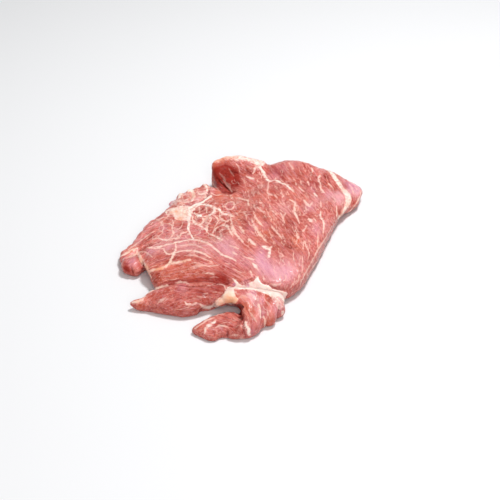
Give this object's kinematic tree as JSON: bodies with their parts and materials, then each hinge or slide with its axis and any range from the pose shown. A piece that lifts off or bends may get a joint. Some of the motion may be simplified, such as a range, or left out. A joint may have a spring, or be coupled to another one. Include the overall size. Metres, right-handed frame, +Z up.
{
  "type": "raw pork shoulder cut",
  "caption": "Raw, boneless, well marbled shoulder cut of pork for grilling or roasting: a flat muscle with a raised fold at the back and a curled flap at the front.",
  "frame": {"origin": "middle of the footprint, on the plane the cut rests on", "axes": "+Z up out of the top side, +Y along the cut from the curled flap to the raised back fold, +X to the right as seen from the flap"},
  "size_m": [0.2138, 0.2638, 0.0261],
  "materials": {
    "raw_pork": "moist raw pork: rosy red muscle fibres with cream-white veins of fat, thin pale membrane at the seams, soft wet sheen"
  },
  "bodies": {
    "root": {"pork_shoulder": "raw_pork"}
  },
  "joints": []
}
